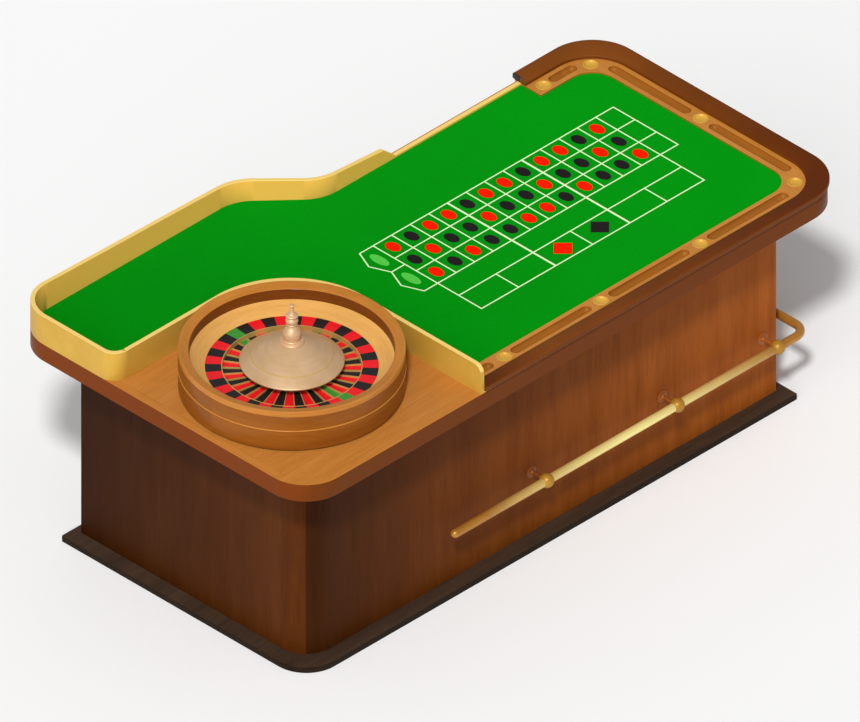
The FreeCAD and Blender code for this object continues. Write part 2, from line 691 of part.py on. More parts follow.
def make_armrest():
    start_x = -D.fence_deck_x + D.fence_thickness
    over, width = D.pad_overhang, D.pad_width
    front, right, back = -D.player_side_y, D.far_end_x, D.narrow_side_y
    bottom, height = D.playing_height + D.rail_rise, D.pad_height
    corner_x = right + over - width - D.pad_inner_radius - 1
    cap = 6

    keep(box(start_x, front - over, bottom, corner_x - start_x, width, height),
         "armrest_player_side")
    outside, inside = D.pad_outer_radius, D.pad_inner_radius
    far = [(corner_x, front - over), (right + over, front - over, outside),
           (right + over, back + over, outside), (corner_x, back + over),
           (corner_x, back + over - width), (right + over - width, back + over - width, inside),
           (right + over - width, front - over + width, inside),
           (corner_x, front - over + width)]
    keep(prism("pad_far", far, bottom, height), "armrest_far_end")
    keep(box(D.rail_end_x + cap, back + over - width, bottom, corner_x - D.rail_end_x - cap,
             width, height), "armrest_dealer_side")
    keep(box(D.rail_end_x, back + over - width, bottom, cap, width, height), "armrest_end_cap")

    # Boards on the apron carry the pads' outer half.
    rise, apron = D.rail_rise, D.apron_width
    bend_x = right - D.top_corner_radius - 1
    player = box(start_x, front + 1, D.playing_height, bend_x - start_x, apron - 1, rise)
    dealer = box(D.rail_end_x, back - apron, D.playing_height, bend_x - D.rail_end_x, apron - 1,
                 rise)
    big, small = D.top_corner_radius - 1, D.top_corner_radius - D.apron_width
    far = [(bend_x, front + 1), (right - 1, front + 1, big), (right - 1, back - 1, big),
           (bend_x, back - 1), (bend_x, back - apron), (right - apron, back - apron, small),
           (right - apron, front + apron, small), (bend_x, front + apron)]
    far_end = prism("base_far", far, D.playing_height, rise)
    keep(group([player, dealer, far_end]), "armrest_base_boards")


# Foot rail ---------------------------------------------------------------------------------------

def make_foot_rail():
    y, z = -(D.cabinet_player_y + D.tube_standoff), D.tube_height
    far_x = D.cabinet_far_x + D.tube_standoff
    length, rise = far_x - D.tube_start_x, D.tube_far_y - y
    bend = D.tube_bend

    body = new_body("foot_rail")
    path = new_sketch(body, "XY_Plane")
    free_end, corner = Vector(), Vector(length.value, 0, 0)
    far_end = Vector(length.value, rise.value, 0)
    arc = tangent_points(free_end, corner, far_end, bend.value)
    path.addGeometry(Part.LineSegment(free_end, arc[0]), False)
    path.addGeometry(Part.LineSegment(arc[1], far_end), False)
    round_corner(path, 0, 1, arc, (length, 0, bend))
    bind_point(path, 0, 1, 0, 0)
    bind_point(path, 1, 2, length, rise)
    profile = new_sketch(body, "YZ_Plane")
    draw_circle(profile, 0, 0, D.tube_radius)
    draw_circle(profile, 0, 0, D.tube_radius - D.tube_wall)
    pipe = body.newObject("PartDesign::AdditivePipe", "foot_rail_pipe")
    pipe.Profile = profile
    pipe.Spine = path
    body.Tip = pipe
    place(body, D.tube_start_x, y, z)
    keep(body, "foot_rail_tube")

    # Each domed cap has a plug that fits inside the tube.
    dome = [(0, -8), (15, -8), (15, 0), (16.5, 0), (14.3, 5.7), (11.7, 10.2), (8.2, 13.2),
            (4, 15.9), (0, 16.5)]
    caps = [turned("dome", dome, x, cap_y, z, turn)
            for x, cap_y, turn in ((D.tube_start_x, y, Rotation(Vector(0, 1, 0), -90)),
                                   (far_x, D.tube_far_y, TO_Y))]
    keep(group(caps), "foot_rail_end_caps")


def make_brackets():
    """Cast brackets: a rosette on the cabinet, an arm and a ball bored for the tube."""
    reach, ball, tube = D.tube_standoff, D.ball_radius, D.tube_radius
    z = D.tube_height
    places = [(size(x), -D.cabinet_player_y, TO_BACK_Y) for x in BRACKET_X]
    places += [(D.cabinet_far_x, size(y), TO_X) for y in BRACKET_Y]
    screw_circle = 16.5
    castings, screws = [], []
    for x, y, turn in places:
        rosette = turned("rosette", [(0, 0), (24, 0), (24, 3), (19, 5), (11, 7), (8, 11), (8, 60),
                                     (0, 60)], x, y, z, turn)
        if turn is TO_X:
            centre = (x + reach, y, z)
            bore = cylinder(x + reach, y - 40, z, tube, 80, TO_Y)
        else:
            centre = (x, y - reach, z)
            bore = cylinder(x - 40, y - reach, z, tube, 80, TO_X)
        castings.append(cut(fuse([rosette, sphere(*centre, ball)]), bore))
        for angle in (90, 210, 330):
            across = screw_circle * math.cos(math.radians(angle))
            up = screw_circle * math.sin(math.radians(angle))
            screw = [(0, -14), (1.6, -14), (1.6, 5.7), (3, 5.7), (3, 7), (0, 7.8)]
            if turn is TO_X:
                screws.append(turned("bracket_screw", screw, x, y + across, z + up, turn))
            else:
                screws.append(turned("bracket_screw", screw, x + across, y, z + up, turn))
    keep(group(castings), "foot_rail_brackets")
    keep(group(screws), "foot_rail_screws")


# Wheel -------------------------------------------------------------------------------------------

def on_wheel(name, outline):
    return turned(name, outline, D.wheel_x, D.wheel_y, D.playing_height)


def make_bowl():
    outer, inner = D.bowl_radius, D.bowl_radius - D.rim_width
    rim_bottom = D.bowl_height - D.rim_depth
    keep(on_wheel("bowl", ring(inner, outer, D.bowl_foot, rim_bottom)), "bowl_shell")
    rim = [(inner, rim_bottom), (outer, rim_bottom), (outer, D.bowl_height),
           (inner, D.bowl_height - D.rim_fall)]
    keep(on_wheel("rim", rim), "bowl_rim")
    track = [(D.track_radius, D.bowl_floor), (inner, D.bowl_floor), (inner, D.track_top),
             (D.track_radius, D.track_bottom)]
    keep(on_wheel("track", track), "ball_track")
    bead = [(outer, 87), (outer + 2.5, 87), (outer + 3.5, 90), (outer + 2.5, 93), (outer, 93)]
    keep(on_wheel("bead", bead), "bowl_bead")
    base = on_wheel("base", ring(D.spindle_radius, inner, D.bowl_foot, D.bowl_floor))
    keep(base, "bowl_base_board")
    foot_radius, foot_circle = 25, 330
    feet = []
    for angle in (0, 90, 180, 270):
        x = D.wheel_x + foot_circle * math.cos(math.radians(angle))
        y = D.wheel_y + foot_circle * math.sin(math.radians(angle))
        feet.append(cylinder(x, y, D.playing_height, foot_radius, D.bowl_foot))
    keep(group(feet), "bowl_feet")


def make_spindle():
    axle, collar = D.spindle_radius, 14
    spindle = [(0, D.bowl_foot), (axle, D.bowl_foot), (axle, D.bowl_floor),
               (collar, D.bowl_floor), (collar, D.rotor_base - 0.3),
               (axle, D.rotor_base - 0.3), (axle, 150), (0, 150)]
    keep(on_wheel("spindle_turning", spindle), "spindle")
    inner = D.spindle_radius + D.spindle_fit
    bearings = [on_wheel("bearing", ring(inner, D.bearing_radius, low, low + 12))
                for low in (D.rotor_base, size(130))]
    keep(group(bearings), "spindle_bearings")


def sector(inner, outer, bottom, top, width):
    """A piece of a ring, width degrees wide, centred on the +X direction."""
    turn = Rotation(Vector(0, 0, 1), -width / 2)
    outside = cylinder(0, 0, bottom, outer, top - bottom, turn, width)
    inside = cylinder(0, 0, bottom - 1, inner, top - bottom + 2, turn, width)
    return cut(outside, inside)


def repeated(label, masters, angles):
    """Copies of the masters turned about the wheel's axis, as one group of solids."""
    doc.recompute()
    copies = []
    for angle in angles:
        for master in masters:
            copy = master.Shape.copy()
            copy.rotate(Vector(), Vector(0, 0, 1), angle)
            copies.append(copy)
    feature = doc.addObject("Part::Feature", "Ring")
    feature.Shape = Part.makeCompound(copies)
    keep(place(feature, D.wheel_x, D.wheel_y, D.playing_height), label)


def make_rotor():
    bearing = D.bearing_radius
    keep(on_wheel("plate", ring(bearing, D.rotor_radius, D.rotor_base, D.rotor_floor)),
         "rotor_plate")
    keep(on_wheel("number_seat", ring(D.number_inner, D.rotor_radius, D.rotor_floor,
                                      D.number_base)), "rotor_ring")

    # The greens are opposite each other, and red and black alternate between them.
    step = 360 / POCKETS
    number = sector(D.number_inner, D.rotor_radius, D.number_base, D.track_bottom, step)
    floor = sector(D.pocket_inner, D.pocket_outer, D.rotor_floor, D.pocket_floor, step)
    half = POCKETS // 2
    angles = {"green": [], "red": [], "black": []}
    for pocket in range(POCKETS):
        place_in_half = pocket % half
        odd = place_in_half % 2 == 1
        if place_in_half == 0:
            colour = "green"
        elif odd == (pocket < half):
            colour = "black"
        else:
            colour = "red"
        angles[colour].append(90 + pocket * step)
    for colour, turns in angles.items():
        repeated(f"number_ring_{colour}", [number, floor], turns)

    thick = D.fret_thickness
    wall = box(D.pocket_inner, -thick * 0.5, D.pocket_floor,
               D.pocket_outer - D.pocket_inner + 1, thick, D.fret_top - D.pocket_floor)
    walls = []
    doc.recompute()
    for pocket in range(POCKETS):
        copy = wall.Shape.copy()
        copy.rotate(Vector(), Vector(0, 0, 1), 90 + (pocket + 0.5) * step)
        walls.append(copy)
    band = on_wheel("fret_band", ring(D.pocket_outer, D.number_inner, D.rotor_floor,
                                      D.track_bottom + 1))
    doc.recompute()
    band_shape = band.Shape.copy()
    band_shape.Placement = Placement()
    casting = doc.addObject("Part::Feature", "Frets")
    casting.Shape = band_shape.fuse(walls)
    keep(place(casting, D.wheel_x, D.wheel_y, D.playing_height), "pocket_frets")

    inner = D.bearing_radius
    cone = [(inner, D.rotor_floor), (D.pocket_inner, D.rotor_floor),
            (D.pocket_inner, D.cone_neck), (D.cone_radius, D.cone_edge - D.cone_lip),
            (D.cone_radius, D.cone_edge), (D.cone_step_radius, D.cone_step),
            (D.turret_radius, D.cone_top), (inner, D.cone_top)]
    keep(on_wheel("cone", cone), "rotor_cone")

    collar, foot = D.turret_radius, D.cone_top
    profile = [(9, 163), (16, 163), (16, foot), (collar, foot), (collar, foot + 10),
               (30, foot + 16), (33, foot + 28), (34, foot + 38), (32, foot + 50),
               (24, foot + 62), (18, foot + 72), (18, foot + 80), (22, foot + 90),
               (22, foot + 98), (16, foot + 106), (23, foot + 112), (23, foot + 116),
               (12, foot + 124), (9, foot + 134), (9, D.turret_top), (0, D.turret_top),
               (0, 170), (9, 170)]
    keep(on_wheel("turret", profile), "turret_stem")
    top, knob = D.wheel_top, D.turret_top
    finial = [(0, knob), (6, knob), (9.5, knob + 4), (10, knob + 6), (8, knob + 10), (0, top)]
    keep(on_wheel("finial", finial), "turret_finial")


# Assembly ----------------------------------------------------------------------------------------

make_plinth()
make_cabinet()
make_door()
make_cabinet_screws()
make_apron()
make_boards()
make_fence()
make_chip_rail()
make_cups()
make_armrest()
make_foot_rail()
make_brackets()
make_bowl()
make_spindle()
make_rotor()

doc.recompute()
for thing in doc.Objects:
    assert "Invalid" not in thing.State and "Error" not in thing.State, f"{thing.Label} failed"
for node in NODES:
    assert not node.Shape.isNull() and node.Shape.isValid(), f"{node.Label} has a bad shape"
os.makedirs("parts", exist_ok=True)
for node in NODES:
    node.Shape.exportStep(f"parts/{node.Label}.step")
print(len(NODES), "sub-parts")
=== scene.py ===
import math

import bmesh
import bpy
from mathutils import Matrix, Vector, noise


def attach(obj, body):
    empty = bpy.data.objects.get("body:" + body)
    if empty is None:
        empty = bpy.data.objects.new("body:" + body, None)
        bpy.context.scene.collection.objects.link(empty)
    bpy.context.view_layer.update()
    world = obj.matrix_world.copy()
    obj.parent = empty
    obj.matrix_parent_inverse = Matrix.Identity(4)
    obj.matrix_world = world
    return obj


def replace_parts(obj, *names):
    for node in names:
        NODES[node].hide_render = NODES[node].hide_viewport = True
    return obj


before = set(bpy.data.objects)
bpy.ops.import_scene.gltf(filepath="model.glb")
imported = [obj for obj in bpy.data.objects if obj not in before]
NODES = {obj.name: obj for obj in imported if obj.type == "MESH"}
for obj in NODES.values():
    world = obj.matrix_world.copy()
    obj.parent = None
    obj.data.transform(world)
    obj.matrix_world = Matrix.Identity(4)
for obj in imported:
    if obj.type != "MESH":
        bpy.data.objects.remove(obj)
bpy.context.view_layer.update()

# A casino roulette table, in metres, in the CAD model's frame: +X towards the far end of the
# layout, +Y towards the dealer, +Z up. Lengths in this script are in millimetres until a mesh is
# made.

MM = 0.001
TABLE, ROTOR = "table", "wheel_rotor"

DECK = 928.0
FELT_TOP = 930.0
RAIL_RISE = 7.4
WHEEL_X, WHEEL_Y = -926.0, -221.8
BOWL_RADIUS = 406.5
AROUND = 256


# Colours and shader nodes ------------------------------------------------------------------------

def rgb(code):
    """A linear colour from its sRGB code."""
    channels = [int(code[i:i + 2], 16) / 255 for i in (1, 3, 5)]
    linear = [c / 12.92 if c <= 0.04045 else ((c + 0.055) / 1.055) ** 2.4 for c in channels]
    return tuple(linear) + (1.0,)


WHITE = rgb("#ffffff")


class Paint:
    """A node material being put together."""

    def __init__(self, name):
        self.material = bpy.data.materials.new(name)
        self.material.use_nodes = True
        self.tree = self.material.node_tree
        self.shader = self.tree.nodes["Principled BSDF"]
        self.place = self.add("ShaderNodeTexCoord").outputs["Object"]

    def add(self, kind, inputs=None, **settings):
        node = self.tree.nodes.new(kind)
        for name, value in settings.items():
            setattr(node, name, value)
        for name, value in (inputs or {}).items():
            self.put(node.inputs[name], value)
        return node

    def put(self, socket, value):
        if isinstance(value, bpy.types.NodeSocket):
            self.tree.links.new(value, socket)
        else:
            socket.default_value = value

    def set(self, **values):
        """Sets inputs of the shader: base_color becomes Base Color."""
        for name, value in values.items():
            label = name.replace("_", " ").title().replace("Ior", "IOR")
            self.put(self.shader.inputs[label], value)
        return self

    def math(self, operation, a, b=0.0, clamp=False):
        return self.add("ShaderNodeMath", {0: a, 1: b}, operation=operation,
                        use_clamp=clamp).outputs[0]

    def split(self, vector):
        return self.add("ShaderNodeSeparateXYZ", {0: vector}).outputs

    def join(self, x, y, z):
        return self.add("ShaderNodeCombineXYZ", {0: x, 1: y, 2: z}).outputs[0]

    def scaled(self, vector, sizes):
        return self.add("ShaderNodeMapping", {"Vector": vector, "Scale": sizes}).outputs[0]

    def noise(self, vector, scale, detail=3.0, roughness=0.55, distortion=0.0):
        return self.add("ShaderNodeTexNoise", {
            "Vector": vector, "Scale": scale, "Detail": detail, "Roughness": roughness,
            "Distortion": distortion}).outputs["Fac"]

    def cells(self, vector, scale):
        """The distance to the border between neighbouring cells."""
        return self.add("ShaderNodeTexVoronoi", {"Vector": vector, "Scale": scale},
                        feature="DISTANCE_TO_EDGE").outputs["Distance"]

    def facing(self):
        """The surface's direction along X, Y and Z."""
        return self.split(self.add("ShaderNodeTexCoord").outputs["Normal"])

    def stain(self, colour, code):
        """A colour seen through a stain of another colour."""
        return self.mix(1.0, colour, rgb(code), "MULTIPLY")

    def remap(self, value, low, high, to_low=0.0, to_high=1.0):
        return self.add("ShaderNodeMapRange", {
            "Value": value, "From Min": low, "From Max": high, "To Min": to_low,
            "To Max": to_high}).outputs[0]

    def step(self, value, low, high):
        """0 below low and 1 above high, with a soft change between them."""
        return self.add("ShaderNodeMapRange", {
            "Value": value, "From Min": low, "From Max": high},
            interpolation_type="SMOOTHSTEP").outputs[0]

    def mix(self, factor, first, second, blend="MIX"):
        node = self.add("ShaderNodeMix", data_type="RGBA", blend_type=blend)
        self.put(node.inputs[0], factor)
        self.put(node.inputs[6], first)
        self.put(node.inputs[7], second)
        return node.outputs[2]

    def shade(self, colour, level):
        """A colour times a grey level."""
        grey = self.add("ShaderNodeCombineColor", {0: level, 1: level, 2: level}).outputs[0]
        return self.mix(1.0, colour, grey, "MULTIPLY")

    def bump(self, height, depth, strength=1.0, under=None):
        node = self.add("ShaderNodeBump", {
            "Height": height, "Distance": depth, "Strength": strength})
        if under:
            self.put(node.inputs["Normal"], under)
        return node.outputs[0]

    def around_wheel(self):
        """Coordinates that run round the wheel: arc length, radius and height."""
        x, y, z = self.split(self.place)
        x = self.math("SUBTRACT", x, WHEEL_X * MM)
        y = self.math("SUBTRACT", y, WHEEL_Y * MM)
        angle = self.math("ARCTAN2", y, x)
        radius = self.math("SQRT", self.math("ADD", self.math("MULTIPLY", x, x),
                                             self.math("MULTIPLY", y, y)))
        return self.join(self.math("MULTIPLY", angle, BOWL_RADIUS * MM), radius, z)


# Materials ---------------------------------------------------------------------------------------

def drawn_out(along, share):
    """Scales that stretch a texture along one axis."""
    return tuple(share if axis == along else 1.0 for axis in "XYZ")


def wood(name, dark, light, along="X", painted_shading=None, roughness=0.38, coat=0.05, gloss=0.12,
         round_wheel=False):
    """Stained and lacquered wood: drawn-out figure, fine pores and a slight unevenness of stain.
    The shading function, if given, paints light and shade into the colour, lighter or darker by
    place or by the surface's direction."""
    paint = Paint(name)
    where = paint.around_wheel() if round_wheel else paint.place
    drawn, fibre = drawn_out(along, 0.09), drawn_out(along, 0.02)
    figure = paint.noise(paint.scaled(where, drawn), 14.0, 5.0, 0.6, 0.6)
    streaks = paint.noise(paint.scaled(where, drawn), 70.0, 4.0, 0.65, 0.3)
    pores = paint.noise(paint.scaled(where, fibre), 620.0, 2.0, 0.6)
    cloud = paint.noise(where, 1.6, 2.0)
    grain = paint.math("ADD", paint.math("MULTIPLY", figure, 0.62),
                       paint.math("MULTIPLY", streaks, 0.38))
    colour = paint.mix(paint.remap(grain, 0.36, 0.64), rgb(dark), rgb(light))
    colour = paint.shade(colour, paint.remap(pores, 0.35, 0.5, 0.86, 1.0))
    colour = paint.shade(colour, paint.remap(cloud, 0.3, 0.7, 0.95, 1.04))
    if painted_shading:
        colour = painted_shading(paint, colour)
    paint.set(base_color=colour, coat_weight=coat, coat_roughness=0.12,
              roughness=paint.remap(streaks, 0.3, 0.7, roughness - 0.05, roughness + 0.08),
              specular_ior_level=gloss,
              normal=paint.bump(pores, 0.00012, 0.35, paint.bump(figure, 0.0004, 0.2)))
    return paint.material


# Where x - y is at the middle of the curved corner panel, in metres: there the painted shade of the
# wheel end meets that of the players' side.
CORNER_SHADE_LINE = -1.1945 + 0.5605


def cabinet_painted_shade(paint, colour):
    """Painted light and shade: the colour is painted lightest at the far end of the players' side
    and darkest at the dealer's edge of the wheel end, and the two painted sides meet in the middle
    of the curved corner."""
    x, y, _ = paint.split(paint.place)
    # Painted shade: each side gets its own painted level, changing at the corner.
    corner = paint.step(paint.math("SUBTRACT", x, y), CORNER_SHADE_LINE - 0.004, CORNER_SHADE_LINE + 0.004)
    player = paint.remap(x, -1.12, 1.18, 0.19, 1.45)
    wheel_end = paint.remap(y, 0.57, -0.5, 0.13, 0.37)
    level = paint.math("ADD", paint.math("MULTIPLY", player, corner),
                       paint.math("MULTIPLY", wheel_end, paint.math("SUBTRACT", 1.0, corner)))
    return paint.shade(colour, level)


def plinth_painted_shade(paint, colour):
    """Painted light and shade: the plinth's top is painted paler than its edges."""
    _, _, up = paint.facing()
    return paint.shade(colour, paint.remap(paint.step(up, 0.4, 0.8), 0.0, 1.0, 0.5, 1.35))


def edging_painted_shade(paint, colour):
    """Painted shade: the edging's sides are painted darker than its top, darkest on the players'
    side.
    """
    across, along, up = paint.facing()
    side = paint.mix(paint.step(paint.math("SUBTRACT", across, along), -0.3, 0.3),
                     rgb("#7c3d0f"), rgb("#733c0f"))
    shaded_side_grain = paint.mix(1.0, side, paint.mix(0.75, colour, WHITE), "MULTIPLY")
    return paint.mix(paint.step(up, 0.45, 0.8), shaded_side_grain, colour)


def groove_painted_shade(paint, colour):
    """Painted shade: the grooves are painted darker than the rail."""
    _, _, height = paint.split(paint.place)
    rail_top = DECK + RAIL_RISE
    raised = paint.step(height, (rail_top - 0.9) * MM, (rail_top - 0.2) * MM)
    return paint.mix(raised, paint.stain(colour, "#cfc195"), colour)


def metal(name, light, dark, roughness=0.28, brushed=(1.0, 1.0, 1.0), fine=900.0, metallic=0.2,
          gloss=0.5, painted_shading=None):
    """Brass or steel with faint brushing, tarnish in patches and small scratches."""
    paint = Paint(name)
    lines = paint.noise(paint.scaled(paint.place, brushed), fine, 2.0, 0.6)
    patches = paint.noise(paint.place, 9.0, 4.0, 0.6)
    marks = paint.cells(paint.scaled(paint.place, (1.0, 0.3, 0.6)), 60.0)
    colour = paint.mix(paint.remap(patches, 0.35, 0.7), rgb(light), rgb(dark))
    rough = paint.math("ADD", paint.remap(lines, 0.3, 0.7, roughness - 0.04, roughness + 0.05),
                       paint.remap(patches, 0.4, 0.7, 0.0, 0.06))
    # The shading function, if given, paints light and shade into the colour.
    if painted_shading:
        colour = painted_shading(paint, colour)
    paint.set(base_color=colour, metallic=metallic, roughness=rough, specular_ior_level=gloss,
              normal=paint.bump(lines, 0.00003, 0.25, paint.bump(marks, 0.00003, 0.08)))
    return paint.material


def fence_painted_light(paint, colour):
    """Painted light: the top edge and the nose get a painted highlight, and the sides towards the
    cloth are painted brighter than the others.
    """
    across, along, up = paint.facing()
    _, y, _ = paint.split(paint.place)
    at_dealer = paint.math("MULTIPLY", paint.step(y, 0.30, 0.32), paint.step(along, -0.3, -0.8))
    inward_painted_light = paint.math("MAXIMUM", paint.step(across, 0.3, 0.8), at_dealer)
    colour = paint.mix(inward_painted_light, colour, paint.mix(0.9, colour, rgb("#ffc258")))
    # Painted highlight on the top edge and the nose.
    fence_highlight = paint.mix(0.8, colour, rgb("#ffdc82"))
    at_nose = paint.step(y, -0.744, -0.747)
    return paint.mix(paint.math("MAXIMUM", paint.step(up, 0.15, 0.5), at_nose), colour, fence_highlight)


def rail_painted_highlight(paint, colour):
    """Painted highlight: the tube is painted pale in the middle of the players' side."""
    x, _, _ = paint.split(paint.place)
    away = paint.math("ABSOLUTE", paint.math("SUBTRACT", x, 0.37))
    highlight_share = paint.remap(away, 0.75, 0.05)
    return paint.mix(paint.math("MULTIPLY", highlight_share, 0.95, clamp=True), colour, rgb("#fff09a"))


def bracket_paint_and_shade(paint, colour):
    """The balls are bare brass; the arms and rosettes are painted brown like the cabinet, lighter
    towards the far end as painted shade that matches the cabinet's.
    """
    x, y, _ = paint.split(paint.place)
    at_player = paint.step(y, -0.6075, -0.6095)
    at_far_end = paint.step(x, 1.2255, 1.2275)
    ball = paint.math("MAXIMUM", at_player, at_far_end)
    return paint.mix(ball, paint.shade(rgb("#84471a"), paint.remap(x, -0.5, 1.2, 0.65, 1.6)),
                     colour)


def felt(name, code, ink=False):
    """Woollen billiard-type cloth: a short matted nap with a soft sheen. Printed ink lies in the
    same nap."""
    paint = Paint(name)
    nap = paint.noise(paint.place, 1500.0, 3.0, 0.7)
    matted = paint.noise(paint.scaled(paint.place, (1.0, 0.6, 1.0)), 260.0, 4.0, 0.65, 0.8)
    colour = paint.shade(rgb(code), paint.remap(nap, 0.3, 0.7, 0.86, 1.12))
    colour = paint.shade(colour, paint.remap(matted, 0.35, 0.65, 0.93, 1.05))
    if not ink:
        cloud = paint.noise(paint.place, 2.2, 3.0)
        x, _, _ = paint.split(paint.place)
        colour = paint.shade(colour, paint.remap(cloud, 0.3, 0.7, 0.96, 1.04))
        # Painted light: the cloth is painted darker towards the wheel end and lighter towards the
        # far end.
        colour = paint.shade(colour, paint.remap(x, -1.3, 1.2, 0.84, 1.08))
    paint.set(base_color=colour, roughness=0.95, sheen_weight=0.02, sheen_roughness=0.5,
              specular_ior_level=0.0,
              normal=paint.bump(nap, 0.0003, 0.5, paint.bump(matted, 0.0005, 0.4)))
    return paint.material


def leather(name, near_code, painted_sheen_code, far_code, side_shade_code):
    """Upholstery leather: pebbled grain and creases, with painted light: a painted sheen in the
    middle and painted shade towards the ends. The pad's sides have one darker colour all the way
    round, as painted shade."""
    paint = Paint(name)
    pebbles = paint.cells(paint.place, 420.0)
    fine = paint.cells(paint.place, 1100.0)
    creases = paint.noise(paint.scaled(paint.place, (0.5, 1.0, 1.0)), 36.0, 5.0, 0.7, 1.2)
    rubbed = paint.noise(paint.place, 5.0, 3.0)
    x, y, _ = paint.split(paint.place)
    # Painted light: darker towards the ends and lighter in the middle, as a painted sheen.
    near = paint.remap(x, -0.47, -0.13, 0.0, 1.0)
    far = paint.remap(x, -0.13, 1.3, 0.0, 1.0)
    colour = paint.mix(near, rgb(near_code), rgb(painted_sheen_code))
    colour = paint.mix(far, colour, rgb(far_code))
    colour = paint.mix(paint.remap(y, -0.65, 0.5, 0.0, 1.0), colour, rgb(painted_sheen_code))
    # Painted shade: the pad's sides are painted one darker colour.
    _, _, up = paint.facing()
    colour = paint.mix(paint.step(up, 0.15, 0.6), rgb(side_shade_code), colour)
    colour = paint.shade(colour, paint.remap(pebbles, 0.0, 0.12, 0.78, 1.0))
    colour = paint.shade(colour, paint.remap(rubbed, 0.3, 0.7, 0.9, 1.08))
    paint.set(base_color=colour, specular_ior_level=0.1,
              roughness=paint.remap(rubbed, 0.3, 0.7, 0.42, 0.56),
              normal=paint.bump(pebbles, 0.0006, 0.5,
                                paint.bump(fine, 0.0002, 0.3, paint.bump(creases, 0.0012, 0.25))))
    return paint.material


def lacquer(name, code):
    """Glossy enamel with slight brush marks and dust."""
    paint = Paint(name)
    marks = paint.noise(paint.scaled(paint.around_wheel(), (0.4, 1.0, 1.0)), 60.0, 3.0)
    dust = paint.noise(paint.place, 420.0, 2.0)
    colour = paint.shade(rgb(code), paint.remap(marks, 0.3, 0.7, 0.93, 1.05))
    paint.set(base_color=colour, coat_weight=0.1, coat_roughness=0.1, specular_ior_level=0.15,
              roughness=paint.remap(dust, 0.4, 0.7, 0.22, 0.34),
              normal=paint.bump(marks, 0.0002, 0.1))
    return paint.material


def plastic(name, code, inner_code):
    """Moulded plastic with a fine spark-eroded texture, with an inner part of another colour that
    matches the pad."""
    paint = Paint(name)
    texture = paint.noise(paint.place, 1300.0, 2.0)
    patches = paint.noise(paint.place, 20.0, 3.0)
    _, y, _ = paint.split(paint.place)
    colour = paint.mix(paint.step(y, 0.518, 0.520), rgb(inner_code), rgb(code))
    colour = paint.shade(colour, paint.remap(patches, 0.3, 0.7, 0.9, 1.1))
    paint.set(base_color=colour, specular_ior_level=0.35,
              roughness=paint.remap(patches, 0.3, 0.7, 0.45, 0.55),
              normal=paint.bump(texture, 0.0002, 0.4))
    return paint.material


def cone_metal(name, light, dark):
    """Spun bronze: fine circles round the wheel's axis."""
    paint = Paint(name)
    around = paint.around_wheel()
    circles = paint.noise(paint.scaled(around, (0.01, 1.0, 1.0)), 900.0, 2.0, 0.5)
    wide = paint.noise(paint.scaled(around, (0.02, 1.0, 1.0)), 60.0, 3.0)
    patches = paint.noise(paint.place, 12.0, 3.0)
    colour = paint.mix(paint.remap(patches, 0.3, 0.7), rgb(light), rgb(dark))
    colour = paint.shade(colour, paint.remap(wide, 0.3, 0.7, 0.94, 1.04))
    paint.set(base_color=colour, metallic=0.25,
              roughness=paint.remap(circles, 0.3, 0.7, 0.36, 0.46),
              normal=paint.bump(circles, 0.00003, 0.3))
    return paint.material


PLINTH = wood("plinth_wood", "#30231a", "#413024", painted_shading=plinth_painted_shade, roughness=0.5, coat=0.0,
              gloss=0.05)
CABINET = wood("cabinet_wood", "#7a3d0f", "#8e4c1a", along="Z", painted_shading=cabinet_painted_shade, roughness=0.45,
               coat=0.0, gloss=0.05)
BOARD = wood("board", "#b08a5c", "#cda878", roughness=0.7, coat=0.0)
APRON = wood("apron_wood", "#b8742e", "#c8843c", painted_shading=edging_painted_shade, coat=0.0, gloss=0.06)
APRON_ENDS = wood("apron_wood_ends", "#b8742e", "#c8843c", along="Y", painted_shading=edging_painted_shade, coat=0.0,
                  gloss=0.06)
DECK_WOOD = wood("deck_wood", "#b8742e", "#c8843c")
RAIL_WOOD = wood("rail_wood", "#bb772f", "#cb873d", painted_shading=groove_painted_shade)
RAIL_WOOD_END = wood("rail_wood_end", "#bb772f", "#cb873d", along="Y", painted_shading=groove_painted_shade)
FELT = felt("felt", "#00920e")
INK_PALE = felt("ink_pale", "#edffcb", ink=True)
INK_RED = felt("ink_red", "#ff1a00", ink=True)
INK_BLACK = felt("ink_black", "#231f20", ink=True)
INK_GREEN = felt("ink_green", "#56c94b", ink=True)
FENCE = metal("fence_brass", "#cea343", "#c69b3a", 0.42, (0.05, 0.05, 1.0), metallic=0.05,
              gloss=0.2, painted_shading=fence_painted_light)
CUP = metal("cup_brass", "#dba940", "#d09e36", 0.36, metallic=0.1)
LEATHER = leather("armrest_leather", "#5a2700", "#7d4211", "#5e2702", "#713909")
END_CAP = plastic("end_cap_black", "#2d221d", "#6d380c")
RAIL_BRASS = metal("rail_brass", "#b9812f", "#a76c24", 0.3, (0.05, 1.0, 1.0), metallic=0.35,
                   painted_shading=rail_painted_highlight)
BRACKET = metal("bracket_brass", "#b3842a", "#a37420", 0.38, metallic=0.2, gloss=0.3,
                painted_shading=bracket_paint_and_shade)
STEEL = metal("steel", "#c9c9c9", "#aaaaaa", 0.35, metallic=1.0)
DOOR_BRASS = metal("door_brass", "#d0a04a", "#b98a3a", 0.32, metallic=0.7)
BOWL = wood("bowl_wood", "#80450f", "#96571a", roughness=0.36, coat=0.1, gloss=0.1,
            round_wheel=True)
RIM = wood("rim_wood", "#b47028", "#c48036", roughness=0.34, coat=0.08, round_wheel=True)
